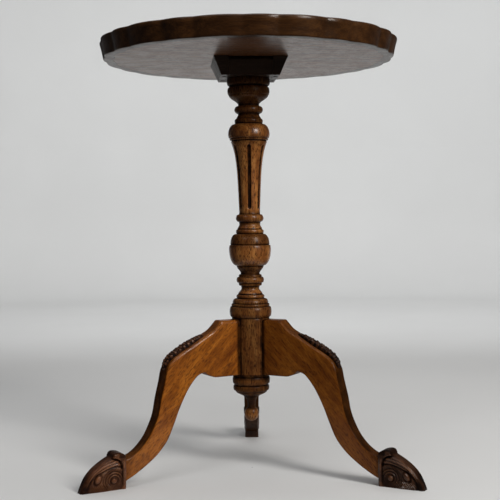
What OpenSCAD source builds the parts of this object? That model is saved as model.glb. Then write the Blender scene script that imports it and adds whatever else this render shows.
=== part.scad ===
// Tilt-top tripod table with a scalloped tray top.
// Origin: on the column's axis at floor level. +Z is up, and the top tilts towards -Y.

/* [Top] */
// Height of the rim's top edge above the floor
table_h = 710; // [700:1:720]
// Depth of the rim, down to the underside of the top
rim_h = 30.6; // [28:0.2:34]
// Reach of the rim's large lobes from the column's axis, at the top edge
rim_reach = 246; // [240:1:252]
// How far the rim's outer face leans outwards over its height
rim_lean = 7; // [4:0.5:8]
// Width of the rim moulding at the underside
rim_w = 16; // [14:0.5:18]
// Thickness of the board inside the rim
board_t = 20; // [18:0.5:22]
// Number of large lobes around the rim, each followed by a small one
lobe_n = 12; // [11:1:13]
// Radius of a large lobe, at the underside
lobe_r = 95; // [85:1:100]
// Radius of a small lobe, at the underside
small_lobe_r = 65; // [55:1:70]
// How far the small lobes stand back from the large ones
small_lobe_back = 0.8; // [0:0.1:2]
// Turn of the top and its block about the vertical, in degrees
head_turn = 4.6; // [-10:0.1:10]

/* [Block and pivot] */
// Side of the square where block and bearers meet the underside
block_top_w = 120; // [116:1:124]
// Side of the square at the bottom of block and bearers
block_base_w = 95; // [92:1:100]
// Width of the block between its two bearers
block_w = 71; // [69:0.5:73]
// Depth of the pivots below the underside
pivot_drop = 6; // [5.5:0.1:8]
// Radius of a pivot pin
pivot_r = 3; // [2:0.25:3]

/* [Column] */
// Height of the shoulder that carries the block
shoulder_z = 650.2; // [648:0.2:652]
// Height of the hub's lower end
hub_z = 156.9; // [155:0.1:158]
// Radius of the hub that the legs join
hub_r = 31.4; // [30:0.1:33]
// Height of the hub's upper end
hub_top_z = 253.5; // [252.5:0.1:255]
// Number of flutes round the tapered shaft
flute_n = 6; // [4:1:8]
// Radius of a flute
flute_r = 3.5; // [2.5:0.25:4]
// Radius of the tenon that goes up into the block
tenon_r = 19; // [15:0.5:22]

/* [Legs] */
// Thickness of a leg
leg_t = 27; // [24:0.5:28]
// Height of the knee carving above the leg's edge
carving_h = 6; // [2:0.2:8]
// Distance of the joint between leg and foot from the column's axis
foot_r = 233.5; // [231:0.5:235]
// Reach of the toes from the column's axis
toe_r = 307; // [305:0.5:312]
// Thickness of a carved foot
foot_t = 30; // [28:0.5:32]

/* [Catch] */
// Radius of the sliding bolt
bolt_r = 3; // [2.5:0.25:3]
// Depth of the bolt's axis below the underside
bolt_drop = 8; // [7.5:0.25:9]
// Travel of the bolt
bolt_travel = 12; // [10:0.5:13]

/* [Hidden] */
$fn = 64;

// A gap between faces that slide past each other
gap = 0.3;
// Radial clearance of a running fit
fit = 0.05;
// Overrun of a cut past the face it opens in
over = 1;

under_z = table_h - rim_h;
floor_z = under_z + board_t;
block_h = under_z - shoulder_z;
block_slope = (block_top_w - block_base_w) / 2 / block_h;
top_half = block_top_w / 2;
base_half = block_base_w / 2;

// The underside's outline is a ring of large and small circles about the axis
under_reach = rim_reach - rim_lean;
lobe_d = under_reach - lobe_r;
small_lobe_d = under_reach - small_lobe_back - small_lobe_r;
lobe_steps = 16;
// Width of the rim's flat top, from the outer edge to the sloped inner face
rim_top_w = 13;
// Sizes of the board's and the rim's outlines, relative to the underside's
board_k = (under_reach - rim_w) / under_reach;
rim_k = rim_reach / under_reach;
inner_k = (rim_reach - rim_top_w) / under_reach;

// The pivot's height, and its distance forward of the column's axis
pivot_z = under_z - pivot_drop;
nose_r = pivot_drop - gap;
pivot_y = -(top_half - block_slope * pivot_drop) + nose_r;
pin_in = 20;
pin_sunk = 1;
pin_end = top_half - block_slope * pivot_drop - pin_sunk;

// Bearer screws, measured from the block's axes
screw_x = 41.8;
screw_y = 27;
screw_r = 2;
screw_head_r = 4;
screw_head_h = 2.6;
screw_sunk = 3;
screw_len = 38;
slot_w = 0.9;
slot_h = 1;

wedge_t = 3;
wedge_len = 24;

// The shaft's two ends, its radius at the foot, and what the taper and the flare add to it
shaft_z = 428.5;
shaft_top_z = 545.7;
shaft_r = 17.4;
shaft_taper = 4.6;
shaft_flare = 8.1;
shaft_steps = 12;
// Where the flutes start, bend and end, and how far their centre lies outside the shaft
flute_low = 437;
flute_mid = 500;
flute_high = 537;
flute_out = 0.9;
// The round ends stand a hair outside the flute's own surface, so that the two cross cleanly
flute_end_r = flute_r + 0.05;

leg_angles = [210, 330, 90];
leg_tenon_z = 160;
tenon_h = 86;
tenon_in = 14;
tenon_wide = 8;
tenon_neck = 5.5;
// The dovetail is drawn a little past the hub's surface, where the leg is cut to fit it
neck_r = hub_r + 2;
leg_root = hub_r / 2;
spigot_r = 10;
spigot_len = 20;
dowel_r = 5;
dowel_z = 27;
dowel_half = 16;

// The leg's upper edge, as distance from the axis and height
leg_top = [
    [62, 251.5], [76, 237.5], [90, 229.5], [115, 215.5], [139, 202.5], [154, 191.5],
    [162, 178], [166, 160], [172.5, 134], [177, 112], [183, 96], [194, 76], [208, 60],
    [222, 50], [foot_r, 46]
];
// The leg's lower edge, from the foot back to the arch's cusp and from there to the hub
leg_under = [
    [foot_r, 12], [217, 20], [198.5, 31.3], [179, 46.5], [162, 66.5], [150, 91.5],
    [142, 111], [133.5, 128.5], [122, 148], [107, 165], [94, 170]
];
leg_arch = [[94, 170], [87, 164.5], [76, 160.6], [66, 160]];
// Steps between neighbouring points of a smooth curve, and within one cut of a turned profile
curve_steps = 5;
cut_steps = 7;
// First and last points of leg_top that the knee carving covers
carving_from = 2;
carving_to = 6;

// The foot's scrolled outline, as distance from the axis and height
foot_back = [[foot_r, 52], [237, 55], [243, 57.3], [249.5, 58], [254.2, 56.4], [255.8, 53]];
foot_front = [
    [256.6, 51.2], [264, 47.8], [274, 42.4], [286.2, 34], [296.2, 23.4], [302.6, 12],
    [toe_r - 1, 4.5], [toe_r, 0]
];

// The catch lies behind the block, along the head's Y axis
plate_from = 64;
plate_len = 40;
plate_w = 24;
plate_t = 1.5;
guide_t = 5;
guide_w = 11;
guide_inset = 2;
bolt_z = under_z - bolt_drop;
bolt_from = 62;
bolt_len = 41;
pocket_spare = 3;
// Distance of the knob's stem from the rear guide when the bolt is drawn back
knob_clear = 5;
knob_y = plate_from + plate_len - guide_inset - guide_t - knob_clear;
knob_stem_r = 2;
knob_stem_z = 13;
knob_ball_r = 4.5;
spigot_in = 1.5;
keeper_w = 22;
keeper_len = 16;
keeper_t = 1.5;
keeper_hole_r = bolt_r + 0.6;
catch_screw_r = 1.25;
catch_head_r = 2.4;
catch_head_h = 1.2;
catch_screw_len = 12;
catch_screw_side = 4;
catch_screw_end = 12;
keeper_screw_x = 8;
slope_angle = atan(block_slope);

// ---- curves ----

// One point of the smooth curve through p1 and p2, with neighbours p0 and p3
function spline_at(p0, p1, p2, p3, t) = 0.5 * (
    2 * p1 + (p2 - p0) * t + (2 * p0 - 5 * p1 + 4 * p2 - p3) * t * t
    + (3 * p1 - p0 - 3 * p2 + p3) * t * t * t
);

// A smooth curve through all the points, with n steps between neighbours
function spline(p, n) = let (last = len(p) - 1) [
    for (i = [0 : last - 1])
        for (k = [0 : (i == last - 1 ? n : n - 1)])
            spline_at(p[max(i - 1, 0)], p[i], p[i + 1], p[min(i + 2, last)], k / n)
];

function unit(v) = v / norm(v);

// The direction square to the curve at point i, to its left
function curve_normal(p, i) = let (
    d = unit(p[min(i + 1, len(p) - 1)] - p[max(i - 1, 0)])
) [-d[1], d[0]];

// How far a turned profile has moved from one radius to the next, for each kind of cut:
// "line" is straight, "across" leaves the last point square to the axis and "along" leaves it
// parallel to the axis, both as quarter ellipses, and "wave" is an S.
function cut(kind, a) =
    kind == "across" ? [1 - cos(a), sin(a)] :
    kind == "along" ? [sin(a), 1 - cos(a)] :
    kind == "wave" ? [a / 90, (1 - cos(2 * a)) / 2] : [a / 90, a / 90];

// Points of a turned profile through stations [height, radius, kind of cut up to it]
function turned(st, n) = concat([[st[0][1], st[0][0]]], [
    for (i = [1 : len(st) - 1])
        let (m = st[i][2] == "line" ? 1 : n, d = [st[i][1] - st[i - 1][1], st[i][0] - st[i - 1][0]])
            for (k = [1 : m])
                let (f = cut(st[i][2], 90 * k / m))
                    [st[i - 1][1] + d[0] * f[1], st[i - 1][0] + d[1] * f[0]]
]);

module turning(st) {
    body = turned(st, cut_steps);
    rotate_extrude() polygon(concat([[0, st[0][0]]], body, [[0, st[len(st) - 1][0]]]));
}

// Places a child in the top's own frame, turned about the column
module head() {
    rotate(head_turn) children();
}

// ---- the top ----

// Distance along a ray from the axis to the far side of a circle at distance d, radius r,
// when the ray passes the circle's centre at an angle a
function far_side(d, r, a) = d * cos(a) + sqrt(r * r - d * d * sin(a) * sin(a));

// The scalloped outline: each ray ends on the circle that reaches further out
function outline() = let (step = 360 / lobe_n) [
    for (i = [0 : lobe_n - 1])
        for (k = [0 : lobe_steps - 1])
            let (a = step * k / lobe_steps, near_small = min(a, step - a))
                let (reach = max(far_side(lobe_d, lobe_r, a - step / 2),
                                 far_side(small_lobe_d, small_lobe_r, near_small)))
                    reach * [cos(step * i + a), sin(step * i + a)]
];

// The lobed solid between two heights, with the outline scaled by k0 below and k1 above
module lobed(z0, z1, k0, k1) {
    translate([0, 0, z0]) linear_extrude(z1 - z0, scale = k1 / k0) polygon(k0 * outline());
}

module bearer_screw_places() {
    for (x = [-screw_x, screw_x])
        for (y = [-screw_y, screw_y])
            translate([x, y, shoulder_z + screw_sunk]) children();
}

module catch_screw_places() {
    for (x = [-plate_w / 2 + catch_screw_side, plate_w / 2 - catch_screw_side])
        for (y = [plate_from + catch_screw_end, plate_from + plate_len - catch_screw_end])
            translate([x, y, under_z - plate_t]) children();
}

module top_board() {
    color("#6b3418") head() difference() {
        lobed(under_z, floor_z, board_k, board_k);
        bearer_screw_places() cylinder(h = screw_len, r = screw_r);
        catch_screw_places() cylinder(h = catch_screw_len, r = catch_screw_r);
    }
}

module rim_moulding() {
    color("#3a1e0e") head() difference() {
        lobed(under_z, table_h, 1, rim_k);
        lobed(under_z - over, table_h + over, board_k, board_k);
        lobed(floor_z, table_h, board_k, inner_k);
    }
}

// ---- block, bearers and pivots ----

// The frustum's side view: front and back faces lean outwards going up
module frustum_side(top_z) {
    lean = block_slope * (under_z - top_z);
    polygon([
        [-base_half, shoulder_z], [base_half, shoulder_z],
        [top_half - lean, top_z], [-top_half + lean, top_z]
    ]);
}

// Extrudes a side view, drawn in Y and Z, along X
module along_x(x0, x1) {
    translate([x0, 0, 0]) rotate([90, 0, 90]) linear_extrude(x1 - x0) children();
}

module keeper_place() {
    y = top_half - block_slope * bolt_drop;
    translate([0, y, bolt_z]) rotate([-slope_angle, 0, 0]) children();
}

module keeper_screw_places() {
    keeper_place() for (x = [-keeper_screw_x, keeper_screw_x])
        translate([x, keeper_t, 0]) rotate([90, 0, 0]) children();
}

// The hole that the bolt slides into, through the keeper and into the block
module bolt_pocket() {
    translate([0, plate_from, bolt_z]) rotate([90, 0, 0])
        cylinder(h = plate_from - bolt_from + bolt_travel + pocket_spare, r = keeper_hole_r);
}

// The block's front edge is rounded about the pivots, so that the top clears it
module block_side() {
    difference() {
        frustum_side(under_z - gap);
        translate([-top_half - over, pivot_z]) square([pivot_y + top_half + over, pivot_drop + over]);
    }
    intersection() {
        translate([pivot_y, pivot_z]) circle(r = nose_r);
        translate([pivot_y - nose_r, pivot_z]) square([nose_r, nose_r]);
    }
}

module tilt_block() {
    color("#241209") head() difference() {
        along_x(-block_w / 2, block_w / 2) block_side();
        translate([0, 0, shoulder_z - over]) cylinder(h = block_h + 2 * over, r = tenon_r);
        for (s = [0, 1]) mirror([s, 0, 0])
            translate([pin_in, pivot_y, pivot_z]) rotate([0, 90, 0]) cylinder(h = block_w, r = pivot_r);
        bolt_pocket();
        keeper_screw_places() cylinder(h = catch_screw_len, r = catch_screw_r);
    }
}

// The right-hand bearer; the left one is its mirror image
module bearer() {
    color("#241209") difference() {
        intersection() {
            along_x(block_w / 2 + gap, top_half) frustum_side(under_z);
            rotate([90, 0, 0]) linear_extrude(block_top_w, center = true) frustum_side(under_z);
        }
        translate([0, pivot_y, pivot_z]) rotate([0, 90, 0]) cylinder(h = block_top_w, r = pivot_r + fit);
        bearer_screw_places() {
            cylinder(h = screw_len, r = screw_r);
            translate([0, 0, -screw_sunk - over])
                cylinder(h = screw_sunk + over + screw_head_h, r = screw_head_r);
        }
    }
}

module bearer_right() head() bearer();
module bearer_left() head() mirror([1, 0, 0]) bearer();

module bearer_screws() {
    color("#8a8d90") head() bearer_screw_places() difference() {
        union() {
            cylinder(h = screw_head_h, r = screw_head_r);
            cylinder(h = screw_len, r = screw_r);
        }
        translate([-screw_head_r, -slot_w / 2, -over]) cube([2 * screw_head_r, slot_w, slot_h + over]);
    }
}

module pivot_pins() {
    color("#8a8d90") head() for (s = [0, 1]) mirror([s, 0, 0])
        translate([pin_in, pivot_y, pivot_z]) rotate([0, 90, 0]) cylinder(h = pin_end - pin_in, r = pivot_r);
}

// ---- column ----

// Radius of the tapered shaft at a height: an even taper that flares at the top
function shaft_at(z) = let (t = (z - shaft_z) / (shaft_top_z - shaft_z))
    shaft_r + shaft_taper * t + shaft_flare * pow(t, 5);

// Height, radius and kind of cut of each member, from the hub upwards
column_low = [
    [hub_z, hub_r, "line"], [hub_top_z, hub_r, "line"],
    [263.2, 35, "across"], [271.6, 32.6, "along"], [272.4, 31.2, "line"],
    [274.2, 31.8, "across"], [276.4, 30.6, "along"], [277, 29.8, "line"],
    [285, 24.4, "along"], [285.8, 22.8, "line"], [288.6, 23.4, "across"], [291.4, 21.6, "along"],
    [302.2, 14.8, "wave"], [305.8, 15.4, "line"], [307.8, 18.6, "line"], [310.6, 19.4, "line"],
    [311.2, 20.6, "line"], [316, 22.9, "across"], [320.8, 20.6, "along"], [321.4, 19.4, "line"],
    [323.8, 18.6, "line"], [325.4, 16, "line"], [326.8, 15.8, "line"],
    [338.6, 22.2, "wave"], [340, 22.8, "line"], [367, 35, "across"], [374, 33.6, "along"],
    [374.8, 32.2, "line"], [375.6, 32.6, "line"], [392.4, 23.8, "along"], [393.2, 22.6, "line"],
    [396.8, 23.2, "across"], [399.6, 21.8, "along"], [408.6, 17.4, "wave"],
    [412, 17.8, "line"], [412.8, 18.8, "line"], [418.8, 23, "across"], [425, 18.6, "along"],
    [426, 17.6, "line"]
];
column_shaft = [
    for (k = [0 : shaft_steps])
        let (z = shaft_z + (shaft_top_z - shaft_z) * k / shaft_steps) [z, shaft_at(z), "line"]
];
column_high = [
    [547, 29.6, "line"], [548, 30.8, "line"], [557.4, 34.4, "across"], [574.6, 24.6, "along"],
    [575.6, 22.8, "line"], [579.8, 23.4, "across"], [583.4, 21.4, "along"], [590.4, 17.6, "wave"],
    [592.4, 18.2, "line"], [598.6, 23.7, "across"], [604.6, 18.2, "along"], [606.4, 17.3, "line"],
    [622.6, 32.8, "wave"], [629, 34.9, "across"], [635, 33.4, "along"],
    [636.4, 32.2, "line"], [638, 32.4, "line"], [638.6, 33.6, "line"],
    [644.4, 35.7, "across"], [shoulder_z, 34.8, "along"],
    [shoulder_z, tenon_r, "line"], [under_z - gap, tenon_r, "line"]
];

// A straight flute between two heights, following the shaft's surface at its ends
module flute(z0, z1) {
    x0 = shaft_at(z0) + flute_out;
    x1 = shaft_at(z1) + flute_out;
    translate([x0, 0, z0]) rotate([0, atan2(x1 - x0, z1 - z0), 0])
        cylinder(h = norm([x1 - x0, z1 - z0]), r = flute_r);
    translate([x0, 0, z0]) sphere(r = flute_end_r);
    translate([x1, 0, z1]) sphere(r = flute_end_r);
}

// The dovetail in plan, from its wide inner end to its neck at the hub's surface
module dovetail_plan(grow = 0) {
    polygon([
        [tenon_in - grow, -tenon_wide - grow], [tenon_in - grow, tenon_wide + grow],
        [neck_r, tenon_neck + grow], [neck_r, -tenon_neck - grow]
    ]);
}

module wedge_kerf() {
    translate([-wedge_t / 2, -tenon_r - over, under_z - gap - wedge_len])
        cube([wedge_t, 2 * (tenon_r + over), wedge_len + over]);
}

module column() {
    color("#4a2410") difference() {
        turning(concat(column_low, column_shaft, column_high));
        for (i = [0 : flute_n - 1]) rotate(-90 + i * 360 / flute_n) {
            flute(flute_low, flute_mid);
            flute(flute_mid, flute_high);
        }
        for (a = leg_angles) rotate(a) translate([0, 0, hub_z - over])
            linear_extrude(leg_tenon_z + tenon_h - hub_z + over) dovetail_plan(fit);
        translate([0, 0, hub_z - over]) cylinder(h = spigot_len + over, r = spigot_r);
        head() wedge_kerf();
    }
}

module tenon_wedge() {
    color("#a9824f") head() intersection() {
        wedge_kerf();
        translate([0, 0, shoulder_z]) cylinder(h = under_z - gap - shoulder_z, r = tenon_r);
    }
}

module pendant() {
    color("#4a2410") {
        turning([
            [79.2, 0, "line"], [91, 11.9, "across"], [101.2, 6.8, "along"], [105, 6.3, "line"],
            [120, 12.4, "along"], [129.6, 26, "wave"], [131.6, 28.2, "line"],
            [135.6, 30, "across"], [139.6, 29.4, "along"], [140.4, 28.4, "line"],
            [141.4, 28.4, "line"], [142.2, 29.6, "line"], [149.4, 31.2, "across"],
            [154.6, 30, "along"], [155, 28.8, "line"], [hub_z, 28.8, "line"]
        ]);
        translate([0, 0, hub_z - over]) cylinder(h = spigot_len, r = spigot_r);
    }
}

// ---- legs ----

top_curve = spline(leg_top, curve_steps);
under_curve = concat(spline(leg_under, curve_steps), spline(leg_arch, curve_steps));

// Stands a flat shape, drawn as distance and height, on edge in a leg's plane
module in_leg_plane(a, t) {
    rotate(a) rotate([90, 0, 0]) linear_extrude(t, center = true) children();
}

module dowel_hole(a, grow = 0) {
    rotate(a) translate([foot_r - dowel_half - grow, 0, dowel_z]) rotate([0, 90, 0])
        cylinder(h = 2 * (dowel_half + grow), r = dowel_r);
}

module leg(a) {
    color("#8a4a1e") {
        difference() {
            in_leg_plane(a, leg_t) polygon(concat(
                [[leg_root, leg_top[0][1]]], top_curve, under_curve, [[leg_root, leg_tenon_z]]
            ));
            translate([0, 0, hub_z]) cylinder(h = hub_top_z - hub_z, r = hub_r);
            dowel_hole(a, gap);
        }
        rotate(a) translate([0, 0, leg_tenon_z]) linear_extrude(tenon_h) dovetail_plan();
    }
}

module foot(a) {
    color("#4a2410") difference() {
        in_leg_plane(a, foot_t) polygon(concat(
            [[foot_r, 0]], spline(foot_back, curve_steps), spline(foot_front, curve_steps)
        ));
        dowel_hole(a, gap);
    }
}

module foot_dowels() {
    color("#a9824f") for (a = leg_angles) dowel_hole(a);
}

// A low band on the knee that dies into the leg's edge at both ends
module knee_carving(a) {
    first = carving_from * curve_steps;
    last = carving_to * curve_steps;
    color("#33190c") in_leg_plane(a, leg_t) polygon(concat(
        [for (i = [last : -1 : first]) top_curve[i]],
        [for (i = [first + 1 : last - 1])
            let (s = sin(180 * (i - first) / (last - first)))
                top_curve[i] + curve_normal(top_curve, i) * carving_h * sqrt(s)]
    ));
}

module leg_left() leg(leg_angles[0]);
module leg_right() leg(leg_angles[1]);
module leg_rear() leg(leg_angles[2]);
module foot_left() foot(leg_angles[0]);
module foot_right() foot(leg_angles[1]);
module foot_rear() foot(leg_angles[2]);
module knee_carving_left() knee_carving(leg_angles[0]);
module knee_carving_right() knee_carving(leg_angles[1]);
module knee_carving_rear() knee_carving(leg_angles[2]);

// ---- catch ----

module bolt_hole(r) {
    translate([0, plate_from - over, bolt_z]) rotate([-90, 0, 0]) cylinder(h = plate_len + 2 * over, r = r);
}

module guide(y) {
    translate([-guide_w / 2, y, bolt_z]) cube([guide_w, guide_t, bolt_drop - plate_t]);
    translate([0, y, bolt_z]) rotate([-90, 0, 0]) cylinder(h = guide_t, r = guide_w / 2);
}

module catch_plate() {
    color("#b08a3e") head() difference() {
        union() {
            translate([-plate_w / 2, plate_from, under_z - plate_t]) cube([plate_w, plate_len, plate_t]);
            guide(plate_from + guide_inset);
            guide(plate_from + plate_len - guide_inset - guide_t);
        }
        bolt_hole(bolt_r + fit);
        catch_screw_places() translate([0, 0, -over]) cylinder(h = plate_t + 2 * over, r = catch_screw_r);
    }
}

module catch_bolt() {
    color("#b08a3e") head() difference() {
        translate([0, bolt_from, bolt_z]) rotate([-90, 0, 0]) cylinder(h = bolt_len, r = bolt_r);
        translate([0, knob_y, bolt_z - bolt_r - over]) cylinder(h = bolt_r + over, r = spigot_in);
    }
}

module catch_knob() {
    color("#b08a3e") head() translate([0, knob_y, bolt_z]) {
        translate([0, 0, -bolt_r - over]) cylinder(h = bolt_r + over, r = spigot_in);
        translate([0, 0, -knob_stem_z]) cylinder(h = knob_stem_z - bolt_r - fit, r = knob_stem_r);
        translate([0, 0, -knob_stem_z]) sphere(r = knob_ball_r);
    }
}

// A small countersunk screw, with its head against the plate at z = 0
module small_screw() {
    translate([0, 0, -catch_head_h]) cylinder(h = catch_head_h, r = catch_head_r);
    cylinder(h = catch_screw_len, r = catch_screw_r);
}

module catch_screws() {
    color("#b08a3e") head() catch_screw_places() small_screw();
}

module keeper() {
    color("#b08a3e") head() difference() {
        keeper_place() translate([-keeper_w / 2, 0, -keeper_len / 2]) cube([keeper_w, keeper_t, keeper_len]);
        bolt_pocket();
        keeper_screw_places() translate([0, 0, -over]) cylinder(h = keeper_t + 2 * over, r = catch_screw_r);
    }
}

module keeper_screws() {
    color("#b08a3e") head() keeper_screw_places() small_screw();
}

top_board();
rim_moulding();
bearer_left();
bearer_right();
bearer_screws();
tilt_block();
pivot_pins();
column();
tenon_wedge();
pendant();
leg_left();
leg_right();
leg_rear();
foot_left();
foot_right();
foot_rear();
foot_dowels();
knee_carving_left();
knee_carving_right();
knee_carving_rear();
catch_plate();
catch_bolt();
catch_knob();
catch_screws();
keeper();
keeper_screws();
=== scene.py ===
"""Looks of a tilt-top tripod table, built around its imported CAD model.

Lengths are in millimetres up to the point where a mesh is made, and in metres from there on.
"""

import math

import bpy
import numpy as np
from mathutils import Matrix, Vector


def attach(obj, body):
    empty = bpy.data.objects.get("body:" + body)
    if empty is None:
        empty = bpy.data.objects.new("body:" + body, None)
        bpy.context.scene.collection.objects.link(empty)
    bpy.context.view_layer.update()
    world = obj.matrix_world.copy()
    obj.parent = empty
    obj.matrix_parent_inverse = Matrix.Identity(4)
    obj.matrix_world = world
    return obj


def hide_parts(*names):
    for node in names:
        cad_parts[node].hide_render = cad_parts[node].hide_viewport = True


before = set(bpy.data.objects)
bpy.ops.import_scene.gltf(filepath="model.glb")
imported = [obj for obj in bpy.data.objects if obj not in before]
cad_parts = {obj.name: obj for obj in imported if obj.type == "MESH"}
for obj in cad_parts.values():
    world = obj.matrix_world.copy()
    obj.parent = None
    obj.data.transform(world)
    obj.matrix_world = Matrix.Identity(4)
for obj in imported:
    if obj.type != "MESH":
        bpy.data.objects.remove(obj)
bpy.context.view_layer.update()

MM = 0.001

# ---------------------------------------------------------------- sizes, as in the CAD part

TABLE_H = 710.0
UNDER_Z = 679.4
BOARD_Z = 699.4
SHOULDER_Z = 650.2
HUB_Z = 156.9
HUB_TOP_Z = 253.5
HUB_R = 31.4
TENON_R = 19.0
RIM_REACH = 246.0
RIM_LEAN = 7.0
RIM_W = 16.0
UNDER_REACH = RIM_REACH - RIM_LEAN
LOBES = 12
LOBE_R = 95.0
SMALL_LOBE_R = 65.0
SMALL_LOBE_BACK = 0.8
HEAD_TURN = math.radians(4.6)
LEG_T = 27.0
LEG_ANGLES = {"left": 210.0, "right": 330.0, "rear": 90.0}
FOOT_R = 233.5
FLUTES = 6
FLUTE_R = 3.5
FLUTE_OUT = 0.9
FLUTE_SPAN = (437.0, 537.0)
SHAFT = (428.5, 545.7)

# Rows of points that each curved member of a turning is made of
TURNED_STEPS = 14


# ---------------------------------------------------------------- curves

def unit(v):
    v = np.asarray(v, float)
    return v / np.maximum(np.linalg.norm(v, axis=-1, keepdims=True), 1e-12)


def smooth(x, low=0.0, high=1.0):
    """0 below low and 1 above high, with a smooth step between."""
    t = np.clip((np.asarray(x, float) - low) / (high - low), 0, 1)
    return t * t * (3 - 2 * t)


def spline(points, steps):
    """A Catmull-Rom curve through all the points, with that many steps between neighbours."""
    p = np.asarray(points, float)
    p = np.vstack([p[0], p, p[-1]])
    rows = []
    for i in range(1, len(p) - 2):
        t = np.linspace(0, 1, steps, endpoint=False)[:, None]
        a, b, c, d = p[i - 1], p[i], p[i + 1], p[i + 2]
        rows.append(0.5 * (2 * b + (c - a) * t + (2 * a - 5 * b + 4 * c - d) * t ** 2
                           + (3 * b - a - 3 * c + d) * t ** 3))
    return np.vstack(rows + [p[-1:]])


def lengths(line):
    """Distance travelled along a line at each of its points."""
    return np.concatenate([[0], np.cumsum(np.linalg.norm(np.diff(line, axis=0), axis=1))])


def resample(line, count):
    """The same line with evenly spaced points."""
    run = lengths(line)
    at = np.linspace(0, run[-1], count)
    return np.stack([np.interp(at, run, line[:, k]) for k in range(line.shape[1])], axis=1)


def distance(points, line):
    """Distance of each point from a line, and how far along it the nearest place is, from 0 to 1."""
    line = resample(np.asarray(line, float), 160)
    gap = np.linalg.norm(points[:, None, :] - line[None, :, :], axis=2)
    near = gap.argmin(axis=1)
    return gap[np.arange(len(points)), near], near / (len(line) - 1)


def turned(stations):
    """Points (radius, height) of a turned profile through stations (height, radius, kind of cut)."""
    rows = [(stations[0][1], stations[0][0])]
    for (z0, r0, _), (z1, r1, kind) in zip(stations, stations[1:]):
        count = 1 if kind == "line" else TURNED_STEPS
        for k in range(1, count + 1):
            a = math.pi / 2 * k / count
            along, out = {
                "across": (1 - math.cos(a), math.sin(a)),
                "along": (math.sin(a), 1 - math.cos(a)),
                "wave": (k / count, (1 - math.cos(2 * a)) / 2),
                "line": (1, 1),
            }[kind]
            rows.append((r0 + (r1 - r0) * out, z0 + (z1 - z0) * along))
    return np.array(rows)


# ---------------------------------------------------------------- meshes

def piece(name, verts, faces, material, sharp=38.0, stain_and_shade=0.0):
    """A smooth-shaded mesh object from points in millimetres, with how dark the wood is at each point:
    stain and painted shade.
    """
    mesh = bpy.data.meshes.new(name)
    mesh.from_pydata((np.asarray(verts, float) * MM).tolist(), [], faces)
    mesh.validate()
    mesh.shade_smooth()
    mesh.set_sharp_from_angle(angle=math.radians(sharp))
    mesh.materials.append(material)
    # The wood's grain is laid out in the piece's own place, before it is turned to where it belongs
    stock = mesh.attributes.new("stock", "FLOAT_VECTOR", "POINT")
    own = np.zeros(3 * len(mesh.vertices), np.float32)
    mesh.vertices.foreach_get("co", own)
    stock.data.foreach_set("vector", own)
    # How dark each point is: stain, and painted shade in grooves, hollows and joints
    darker = mesh.attributes.new("stain_and_shade", "FLOAT", "POINT")
    darker.data.foreach_set("value", np.broadcast_to(stain_and_shade, len(mesh.vertices)).astype(np.float32))
    obj = bpy.data.objects.new(name, mesh)
    bpy.context.scene.collection.objects.link(obj)
    return obj


def quads(rows, cols, wrap_rows=False, wrap_cols=True):
    """Faces between neighbouring rows of a grid of points."""
    faces = []
    for i in range(rows if wrap_rows else rows - 1):
        for j in range(cols if wrap_cols else cols - 1):
            k, m = (i + 1) % rows, (j + 1) % cols
            faces.append((i * cols + j, i * cols + m, k * cols + m, k * cols + j))
    return faces


def capped(rings):
    """Points and faces of a skin over rings of points, closed by a fan at each end."""
    rings = np.asarray(rings, float)
    n, m, _ = rings.shape
    verts = np.vstack([rings.reshape(-1, 3), rings[0].mean(axis=0), rings[-1].mean(axis=0)])
    faces = quads(n, m)
    faces += [(n * m, (j + 1) % m, j) for j in range(m)]
    faces += [(n * m + 1, (n - 1) * m + j, (n - 1) * m + (j + 1) % m) for j in range(m)]
    return verts, faces


def place(obj, body, slot, *nodes, turn=0.0):
    """Turns a new piece about the vertical, lets it ride on its body and stand for the named CAD nodes."""
    obj.data.transform(Matrix.Rotation(turn, 4, "Z"))
    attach(obj, body)
    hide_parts(*nodes)
    return obj


# ---------------------------------------------------------------- materials

def node(tree, kind, inputs=None, **settings):
    """A shader node; an input given as a socket is linked, and any other value is set."""
    made = tree.nodes.new(kind)
    for key, value in settings.items():
        setattr(made, key, value)
    for key, value in (inputs or {}).items():
        if isinstance(value, bpy.types.NodeSocket):
            tree.links.new(value, made.inputs[key])
        else:
            made.inputs[key].default_value = value
    return made


def calc(tree, operation, a, b=0.0, clamp=False):
    """A sum on one or two values."""
    return node(tree, "ShaderNodeMath", {0: a, 1: b}, operation=operation, use_clamp=clamp).outputs[0]


def blend(tree, factor, a, b):
    """A mix of two colours."""
    return node(tree, "ShaderNodeMix", {0: factor, 6: a, 7: b}, data_type="RGBA").outputs[2]


def spread(tree, value, low, high, to_low=0.0, to_high=1.0):
    """A value's range from low to high brought smoothly to another range."""
    made = node(tree, "ShaderNodeMapRange",
                {0: value, 1: low, 2: high, 3: to_low, 4: to_high}, interpolation_type="SMOOTHSTEP")
    return made.outputs[0]


def noise(tree, where, scale, detail=3.0, rough=0.55, warp=0.0):
    """Cloudy noise around 0.5."""
    made = node(tree, "ShaderNodeTexNoise",
                {"Vector": where, "Scale": scale, "Detail": detail, "Roughness": rough, "Distortion": warp})
    return made.outputs[0]


def stretched(tree, where, scale):
    """Places multiplied by a scale on each axis."""
    return node(tree, "ShaderNodeMapping", {"Vector": where, "Scale": scale}).outputs[0]


def ramp(tree, value, stops):
    """A colour for each value, through stops of (place, colour)."""
    made = node(tree, "ShaderNodeValToRGB", {0: value})
    elements = made.color_ramp.elements
    while len(elements) < len(stops):
        elements.new(0.5)
    for element, (at, colour) in zip(elements, stops):
        element.position, element.color = at, (*colour, 1)
    return made.outputs[0]


def new_material(name):
    """A material with only a principled shader and its output."""
    material = bpy.data.materials.new(name)
    material.use_nodes = True
    tree = material.node_tree
    tree.nodes.clear()
    shader = tree.nodes.new("ShaderNodeBsdfPrincipled")
    out = tree.nodes.new("ShaderNodeOutputMaterial")
    tree.links.new(shader.outputs[0], out.inputs[0])
    return material, tree, shader
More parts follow.
